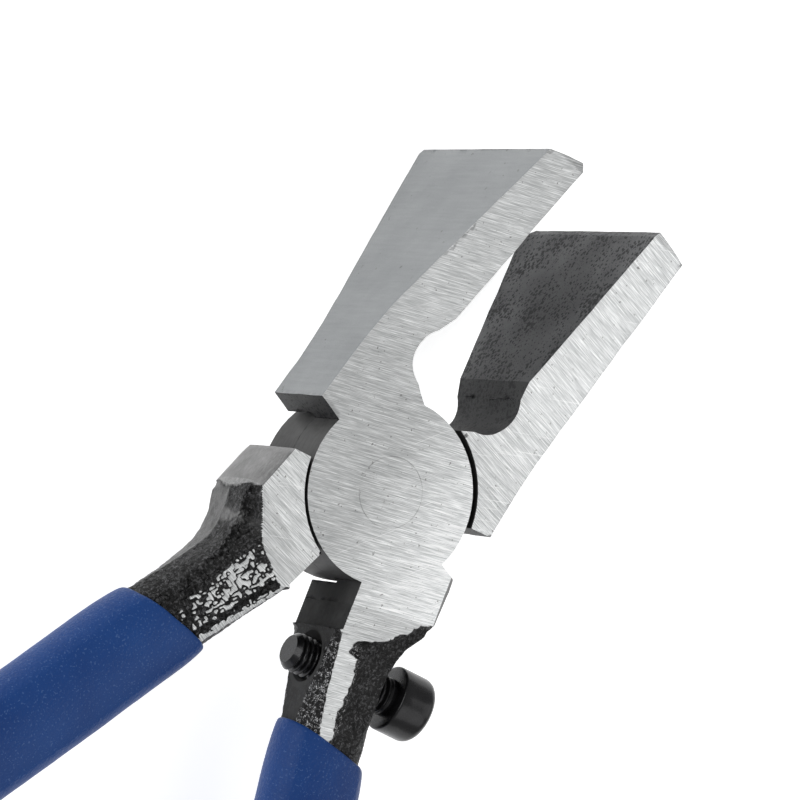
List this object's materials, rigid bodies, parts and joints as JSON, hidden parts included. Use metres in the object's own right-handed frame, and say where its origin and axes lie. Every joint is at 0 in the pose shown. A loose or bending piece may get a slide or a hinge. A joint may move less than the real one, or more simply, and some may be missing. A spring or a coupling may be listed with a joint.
{
  "type": "wide-jaw pliers",
  "caption": "Wide flat-jaw pliers with a flush lap joint, vinyl-dipped handles and a cap screw that stops the handles closing.",
  "frame": {"origin": "where the pivot axis leaves the back face of the joint", "axes": "+X towards the jaws, midway between the parallel jaw faces; +Z along the pivot axis, out of the front face; +Y towards the jaw of the half that carries the screw"},
  "size_m": [0.1976, 0.116, 0.032],
  "materials": {
    "half_steel": "ground bright on the flat faces, black forging scale on the handles",
    "rivet_steel": "ground flush",
    "screw_black": "black oxide",
    "grip_vinyl": "dipped vinyl, softly pebbled satin"
  },
  "bodies": {
    "screw_side": {"screw_half": "half_steel", "pivot_rivet": "rivet_steel", "screw_side_grip": "grip_vinyl"},
    "plain_side": {"plain_half": "half_steel", "plain_side_grip": "grip_vinyl"},
    "stop_screw": {"stop_screw": "screw_black"}
  },
  "joints": [
    {"name": "pivot", "type": "hinge", "parent": "screw_side", "child": "plain_side", "pos_m": [0, 0, 0], "axis": [0, 0, -1], "range_deg": [-15, 26]},
    {"name": "screw_travel", "type": "slide", "parent": "screw_side", "child": "stop_screw", "axis": [-0.1994, 0.9799, 0], "range_m": [-0.0025, 0.0006]}
  ]
}
